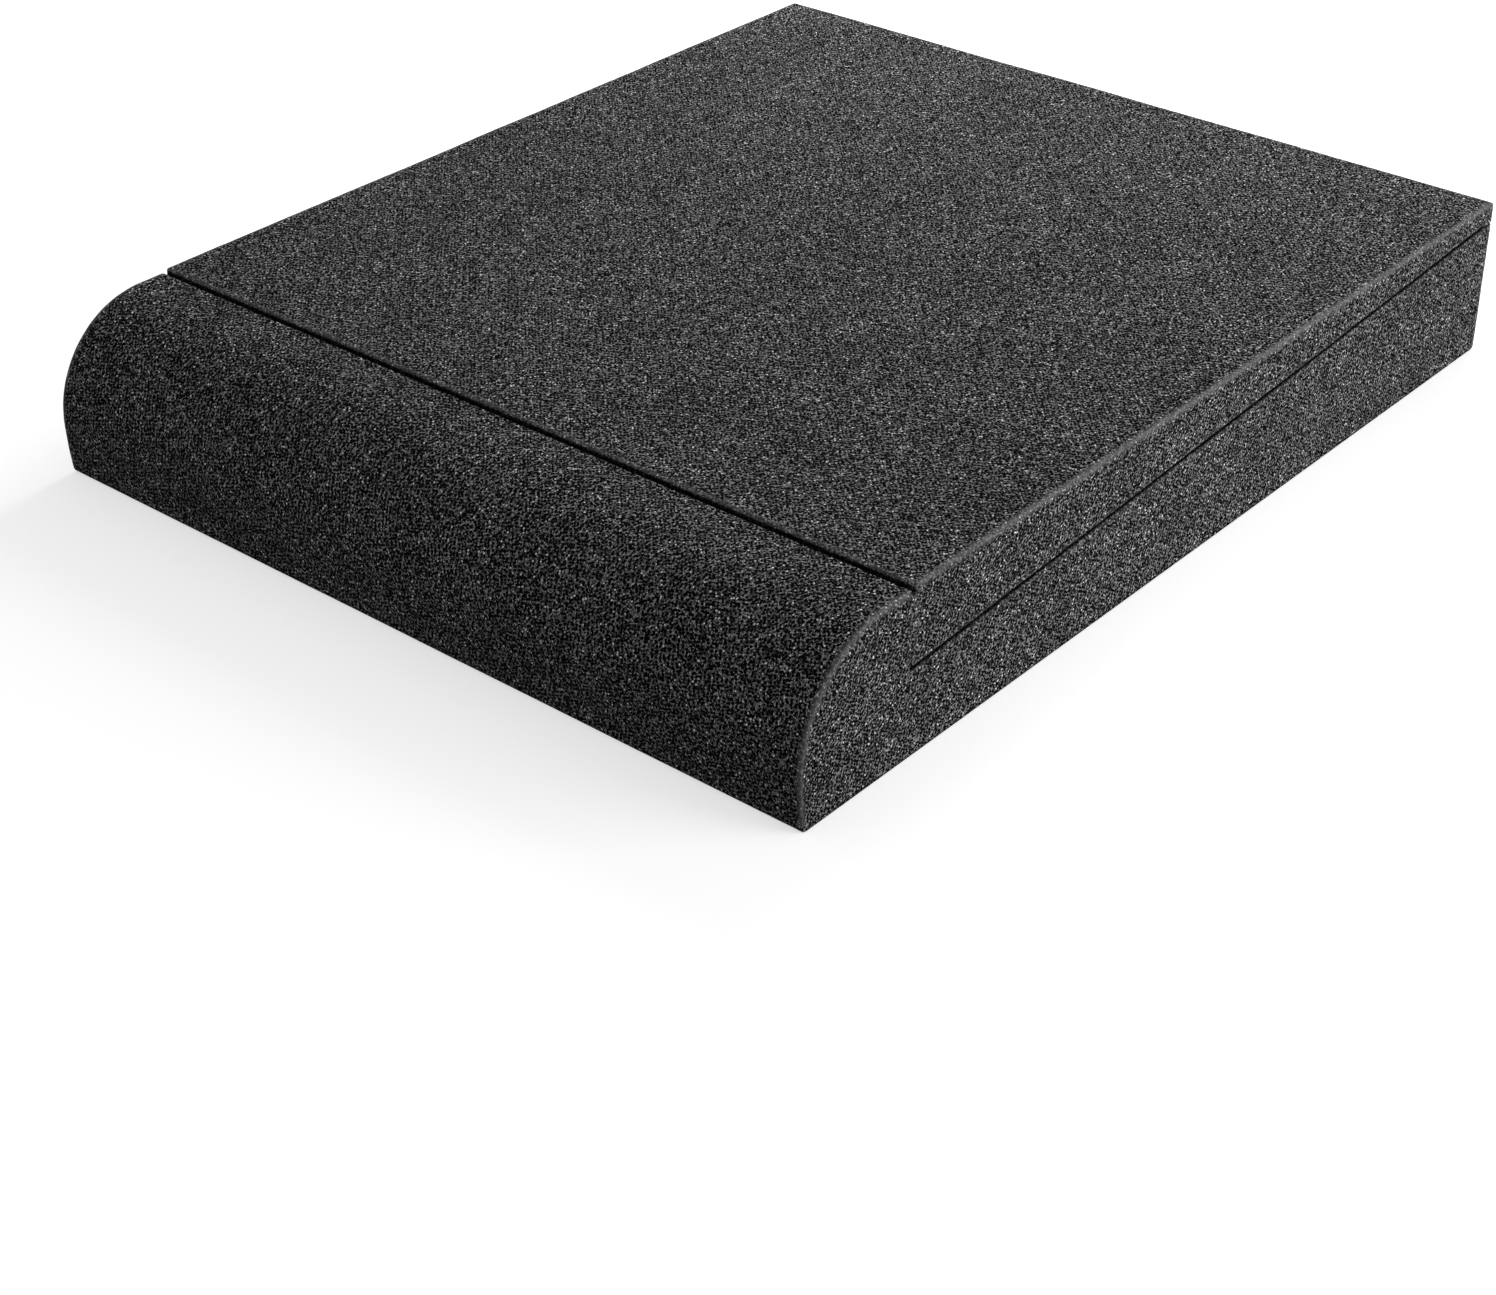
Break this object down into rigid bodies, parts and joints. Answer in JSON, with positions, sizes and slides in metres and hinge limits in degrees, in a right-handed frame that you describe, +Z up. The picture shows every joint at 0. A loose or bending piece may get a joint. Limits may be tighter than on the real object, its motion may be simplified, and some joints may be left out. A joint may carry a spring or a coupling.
{
  "type": "speaker isolation pad",
  "caption": "Foam isolation pad with a rounded front lip, a sloping seat and a loose tapered wedge that makes a level top for a loudspeaker.",
  "frame": {"origin": "middle of the footprint, on the surface that the pad stands on", "axes": "+X across the pad, +Y from the rounded lip to the rear edge, +Z up"},
  "size_m": [0.25, 0.3, 0.045],
  "materials": {
    "foam": "matte"
  },
  "bodies": {
    "root": {"base_pad": "foam", "wedge_insert": "foam"}
  },
  "joints": []
}
